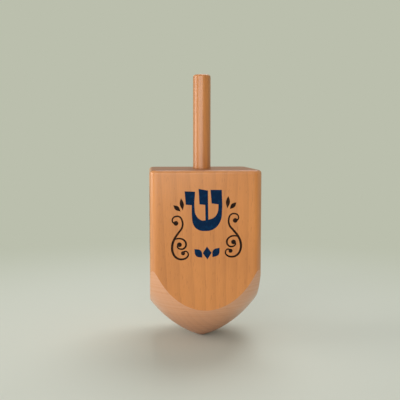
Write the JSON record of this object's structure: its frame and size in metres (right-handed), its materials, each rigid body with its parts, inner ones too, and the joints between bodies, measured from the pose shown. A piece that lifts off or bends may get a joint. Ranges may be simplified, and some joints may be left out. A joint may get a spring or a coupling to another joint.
{
  "type": "dreidel",
  "caption": "Wooden spinning top with a square block that is turned to a blunt point and a round dowel handle glued into its flat top.",
  "frame": {"origin": "the spinning tip, on the spin axis at the lowest point of the block", "axes": "+Z along the spin axis, from the tip up through the dowel; -Y is the face shown in the picture, and X and Y stand square to the block's faces"},
  "size_m": [0.038, 0.038, 0.095],
  "materials": {
    "block_wood": "satin lacquer over warm orange-tan hardwood",
    "dowel_wood": "satin lacquer over warm orange-tan hardwood dowel",
    "print_ink": "navy screen ink in a thin film, on the visual model only"
  },
  "bodies": {
    "root": {"body_block": "block_wood", "handle_dowel": "dowel_wood"}
  },
  "joints": []
}
